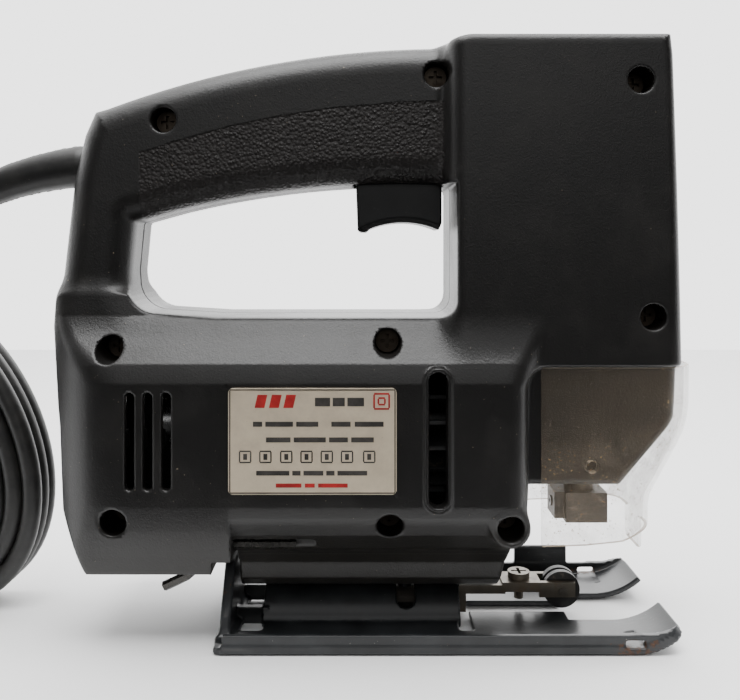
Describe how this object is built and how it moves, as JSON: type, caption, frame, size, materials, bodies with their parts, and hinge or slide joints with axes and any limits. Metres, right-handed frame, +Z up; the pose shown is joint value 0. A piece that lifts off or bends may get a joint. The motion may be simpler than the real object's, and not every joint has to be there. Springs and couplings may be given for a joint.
{
  "type": "jigsaw power tool",
  "caption": "Corded jigsaw with a closed bow handle, finger trigger, gear-driven plunger, clear dust guard, tilting pressed-steel sole and a coiled mains cord.",
  "frame": {"origin": "underside of the sole, on the line of the blade and plunger, in the tool's mid-plane", "axes": "+X forwards along the cut, +Y to the user's left, +Z up along the plunger"},
  "size_m": [0.3437, 0.0915, 0.194],
  "materials": {
    "housing_plastic": "fine-grained moulded plastic",
    "steel_screws": "zinc-plated steel, dulled",
    "plate_print": "printed foil",
    "trigger_plastic": "smooth moulded plastic",
    "spring_steel": "spring wire",
    "inner_plastic": "dark moulded plastic",
    "capacitor_resin": "resin block",
    "wire_cover": "wire insulation",
    "cord_rubber": "satin PVC",
    "tie_plastic": "strap",
    "brass": "plain brass",
    "core_steel": "laminated sheet",
    "copper_wire": "enamelled winding",
    "copper": "commutator bars",
    "carbon": "carbon",
    "bright_steel": "ground steel",
    "gear_steel": "machined steel",
    "cast_alloy": "die-cast",
    "bronze": "sintered bronze",
    "felt": "oiled felt",
    "clamp_steel": "dusty steel",
    "dark_screws": "blackened steel",
    "clear_guard": "clear plastic, dusty",
    "black_paint": "worn semi-gloss paint",
    "zinc_steel": "aged zinc plate",
    "roller_steel": "dark hardened steel",
    "key_steel": "worn tool steel"
  },
  "bodies": {
    "tool_body": {"housing_right": "housing_plastic", "housing_left": "housing_plastic", "housing_screws": "steel_screws", "rating_plate": "plate_print", "switch_body": "inner_plastic", "capacitor": "capacitor_resin", "trigger_spring": "spring_steel", "lead_wires": "wire_cover", "inner_cord": "cord_rubber", "cord_clamp": "inner_plastic", "cord_clamp_screws": "steel_screws", "cord_sleeve": "cord_rubber", "mains_cord": "cord_rubber", "cord_coil": "cord_rubber", "cord_tail": "cord_rubber", "cord_tie": "tie_plastic", "mains_plug": "cord_rubber", "plug_pins": "brass", "stator_core": "core_steel", "field_coils": "copper_wire", "brush_holders": "brass", "carbon_brushes": "carbon", "brush_springs": "spring_steel", "rear_bearing": "bright_steel", "front_bearing": "bright_steel", "gear_shaft": "bright_steel", "gear_clip": "spring_steel", "gearbox_plate": "cast_alloy", "lower_bushing": "bronze", "upper_bushing": "bronze", "felt_seal": "felt", "guard": "clear_guard", "sole_screw": "dark_screws", "clamp_shoe": "clamp_steel", "hex_key": "key_steel"},
    "trigger_body": {"trigger": "trigger_plastic"},
    "lock_button_body": {"lock_button": "trigger_plastic"},
    "armature": {"armature_shaft": "bright_steel", "armature_core": "core_steel", "armature_windings": "copper_wire", "commutator": "copper", "fan": "inner_plastic", "pinion": "gear_steel"},
    "crank_gear": {"drive_gear": "gear_steel", "crank_pin": "bright_steel"},
    "blade_drive": {"plunger": "bright_steel", "plunger_yoke": "gear_steel", "blade_clamp": "clamp_steel", "clamp_screws": "dark_screws"},
    "sole": {"sole_plate": "black_paint", "roller_support": "zinc_steel", "roller_pin": "bright_steel", "support_screw": "steel_screws"},
    "guide_roller": {"roller": "roller_steel"}
  },
  "joints": [
    {"name": "trigger_press", "type": "slide", "parent": "tool_body", "child": "trigger_body", "axis": [0, 0, 1], "range_m": [0, 0.006], "stiffness_N_per_m": 900, "springref_m": -0.003, "deforming": ["trigger_spring"]},
    {"name": "lock_button_press", "type": "slide", "parent": "tool_body", "child": "lock_button_body", "axis": [0, -1, 0], "range_m": [0, 0.003], "stiffness_N_per_m": 500, "springref_m": -0.002},
    {"name": "armature_spin", "type": "hinge", "parent": "tool_body", "child": "armature", "pos_m": [-0.093, 0, 0.066], "axis": [1, 0, 0], "continuous": true},
    {"name": "gear_spin", "type": "hinge", "parent": "tool_body", "child": "crank_gear", "pos_m": [-0.0205, 0, 0.09], "axis": [1, 0, 0], "continuous": true},
    {"name": "plunger_stroke", "type": "slide", "parent": "tool_body", "child": "blade_drive", "axis": [0, 0, 1], "range_m": [-0.016, 0]},
    {"name": "sole_bevel", "type": "hinge", "parent": "tool_body", "child": "sole", "pos_m": [-0.063, 0, 0], "axis": [1, 0, 0], "range_deg": [-45, 45]},
    {"name": "roller_spin", "type": "hinge", "parent": "sole", "child": "guide_roller", "pos_m": [-0.0065, 0, 0.0088], "axis": [0, 1, 0], "continuous": true}
  ],
  "couplings": [
    {"joint": "gear_spin", "follows": "armature_spin", "ratio": -0.2}
  ]
}
